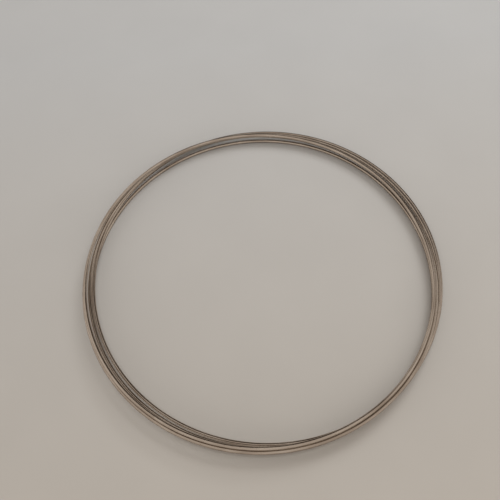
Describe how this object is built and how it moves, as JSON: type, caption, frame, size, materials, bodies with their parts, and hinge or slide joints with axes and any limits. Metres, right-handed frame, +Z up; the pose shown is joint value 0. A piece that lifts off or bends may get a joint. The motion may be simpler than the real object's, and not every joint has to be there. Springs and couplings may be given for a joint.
{
  "type": "wreath frame",
  "caption": "Loose bundle of plain round wire hoops lying on one another, each a welded ring used as a wreath frame.",
  "frame": {"origin": "on the surface that the bundle lies on, under the middle of the bundle's bounding box", "axes": "+Z up, out of the plane of the hoops; +X to the right and +Y away from a viewer who stands at the bundle's front"},
  "size_m": [0.308, 0.309, 0.0193],
  "materials": {
    "wire": "bright drawn wire, thin nickel plating"
  },
  "bodies": {
    "hoop_1": {"hoop_1_lowest": "wire"},
    "hoop_2": {"hoop_2": "wire"},
    "hoop_3": {"hoop_3_middle": "wire"},
    "hoop_4": {"hoop_4": "wire"},
    "hoop_5": {"hoop_5_top": "wire"}
  },
  "joints": [
    {"name": "hoop_2_lift", "type": "slide", "parent": "hoop_1", "child": "hoop_2", "axis": [0, 0, 1], "range_m": [0, 0.05]},
    {"name": "hoop_3_lift", "type": "slide", "parent": "hoop_2", "child": "hoop_3", "axis": [0, 0, 1], "range_m": [0, 0.05]},
    {"name": "hoop_4_lift", "type": "slide", "parent": "hoop_3", "child": "hoop_4", "axis": [0, 0, 1], "range_m": [0, 0.05]},
    {"name": "hoop_5_lift", "type": "slide", "parent": "hoop_4", "child": "hoop_5", "axis": [0, 0, 1], "range_m": [0, 0.05]}
  ]
}
